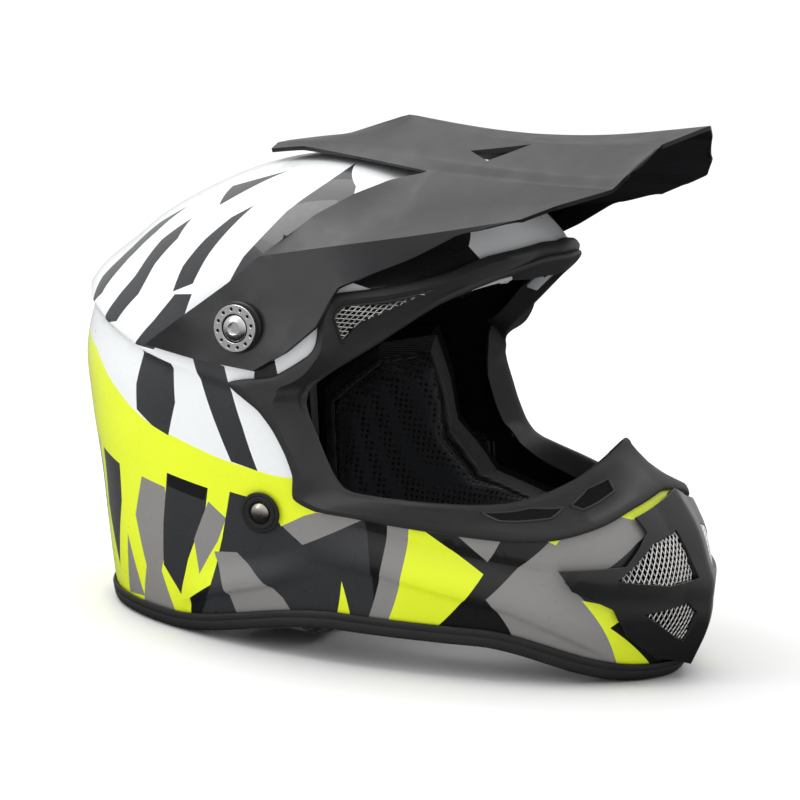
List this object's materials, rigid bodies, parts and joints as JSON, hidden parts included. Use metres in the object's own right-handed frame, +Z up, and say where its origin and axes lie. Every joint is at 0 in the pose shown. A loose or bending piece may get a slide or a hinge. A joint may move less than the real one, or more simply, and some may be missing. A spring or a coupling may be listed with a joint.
{
  "type": "motocross helmet",
  "caption": "Full-face off-road helmet with an adjustable peak, open eyeport, vented chin bar, removable-style pads and a double D-ring chin strap.",
  "frame": {"origin": "centre of the bounding box in plan, on the plane that the lower edge rests on", "axes": "+Z up, -Y is the way the wearer faces, +X the wearer's left"},
  "size_m": [0.2664, 0.3616, 0.284],
  "materials": {
    "gloss_shell": "gloss lacquer over a white base with dark, grey and yellow graphics",
    "matte_black": "satin moulded",
    "gloss_black": "gloss",
    "black_rubber": "matte",
    "black_foam": "bead foam",
    "black_fabric": "air-mesh and webbing",
    "aluminium": "turned and clear-coated",
    "steel": "plated",
    "silver_mesh": "expanded mesh, silver",
    "grey_plastic": "satin moulded"
  },
  "bodies": {
    "helmet": {"outer_shell": "gloss_shell", "peak_insert_left": "steel", "peak_insert_right": "steel", "eyeport_surround": "matte_black", "brow_duct_left": "grey_plastic", "brow_duct_right": "grey_plastic", "chin_vent_cover": "gloss_black", "chin_vent_mesh_upper_left": "silver_mesh", "chin_vent_mesh_upper_right": "silver_mesh", "chin_vent_mesh_lower_left": "silver_mesh", "chin_vent_mesh_lower_right": "silver_mesh", "lower_edge_trim": "black_rubber", "impact_foam": "black_foam", "chin_bar_foam": "black_foam", "cheek_foam_left": "black_foam", "cheek_foam_right": "black_foam", "cheek_pad_left": "black_fabric", "cheek_pad_right": "black_fabric", "crown_liner": "black_fabric", "neck_roll": "black_fabric", "strap_rivet_left": "steel", "strap_rivet_right": "steel", "rivet_ring_left": "black_rubber", "rivet_ring_right": "black_rubber"},
    "peak": {"peak": "matte_black", "peak_washer_left": "black_rubber", "peak_washer_right": "black_rubber"},
    "screw_left": {"peak_screw_left": "aluminium"},
    "screw_right": {"peak_screw_right": "aluminium"},
    "strap_left": {"strap_hanger_left": "steel", "chin_strap_left": "black_fabric", "strap_pad_left": "black_fabric"},
    "strap_right": {"strap_hanger_right": "steel", "chin_strap_right": "black_fabric", "strap_pad_right": "black_fabric"},
    "ring_upper": {"d_ring_upper": "steel"},
    "ring_lower": {"d_ring_lower": "steel"}
  },
  "joints": [
    {"name": "peak_tilt", "type": "hinge", "parent": "helmet", "child": "peak", "pos_m": [0, 0.0339, 0.167], "axis": [1, 0, 0], "range_deg": [-6, 4]},
    {"name": "peak_screw_left_turn", "type": "hinge", "parent": "helmet", "child": "screw_left", "pos_m": [0.1296, 0.0339, 0.167], "axis": [1, 0, 0], "continuous": true},
    {"name": "peak_screw_right_turn", "type": "hinge", "parent": "helmet", "child": "screw_right", "pos_m": [-0.1296, 0.0339, 0.167], "axis": [-1, 0, 0], "continuous": true},
    {"name": "strap_left_swing", "type": "hinge", "parent": "helmet", "child": "strap_left", "pos_m": [0.12331, 0.01681, 0.0737], "axis": [0.9905, -0.0412, -0.1316], "range_deg": [-12, 12]},
    {"name": "strap_right_swing", "type": "hinge", "parent": "helmet", "child": "strap_right", "pos_m": [-0.12331, 0.01681, 0.0737], "axis": [-0.9905, -0.0412, -0.1316], "range_deg": [-12, 12]},
    {"name": "ring_upper_flip", "type": "hinge", "parent": "strap_left", "child": "ring_upper", "pos_m": [0.012, 0.0169, 0.0109], "axis": [0, 1, 0], "range_deg": [0, 140]},
    {"name": "ring_lower_flip", "type": "hinge", "parent": "strap_left", "child": "ring_lower", "pos_m": [0.012, 0.0169, 0.0071], "axis": [0, 1, 0], "range_deg": [-10, 0]}
  ]
}
